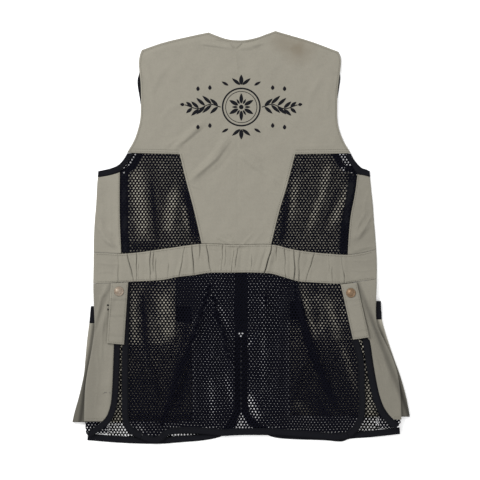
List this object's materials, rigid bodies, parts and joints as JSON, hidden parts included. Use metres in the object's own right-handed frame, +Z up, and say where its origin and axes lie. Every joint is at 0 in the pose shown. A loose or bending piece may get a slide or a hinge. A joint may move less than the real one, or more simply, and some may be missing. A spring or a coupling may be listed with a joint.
{
  "type": "shooting vest",
  "caption": "Sleeveless shooting vest laid flat, back up: cotton yoke and sides, net back and pouch, gathered waistband, bellows pockets and snapped hip straps.",
  "frame": {"origin": "centre of the bounding box in X and Y, on the surface that the vest lies on", "axes": "+Y towards the neck, +Z up out of the surface and out of the vest's back, +X to the right of one who looks down on the back with the neck away"},
  "size_m": [0.6231, 0.7635, 0.0193],
  "materials": {
    "khaki_cotton": "matt twill",
    "black_net": "knitted net",
    "black_tape": "matt folded tape",
    "snap_brass": "antique brass",
    "zip_metal": "polished"
  },
  "bodies": {
    "root": {"back_panel": "khaki_cotton", "waistband": "khaki_cotton", "side_left": "khaki_cotton", "side_right": "khaki_cotton", "hip_left": "khaki_cotton", "hip_right": "khaki_cotton", "tab_left": "khaki_cotton", "tab_right": "khaki_cotton", "front_upper_left": "khaki_cotton", "front_upper_right": "khaki_cotton", "inner_pocket_left": "khaki_cotton", "inner_pocket_right": "khaki_cotton", "pocket_left": "khaki_cotton", "pocket_right": "khaki_cotton", "inset_left": "black_net", "inset_right": "black_net", "pouch": "black_net", "hip_net_left": "black_net", "hip_net_right": "black_net", "front_lower_left": "black_net", "front_lower_right": "black_net", "seam_tape_left": "black_tape", "seam_tape_right": "black_tape", "pouch_binding_left": "black_tape", "pouch_binding_right": "black_tape", "pouch_hem": "black_tape", "armhole_binding_back_left": "black_tape", "armhole_binding_back_right": "black_tape", "hip_binding_left": "black_tape", "hip_binding_right": "black_tape", "armhole_binding_front_left": "black_tape", "armhole_binding_front_right": "black_tape", "front_binding_left": "black_tape", "front_binding_right": "black_tape", "zip_tape": "black_tape", "pocket_band_left": "black_tape", "pocket_band_right": "black_tape", "snap_left": "snap_brass", "snap_right": "snap_brass", "zip_box": "zip_metal", "zip_slider": "zip_metal"}
  },
  "joints": []
}
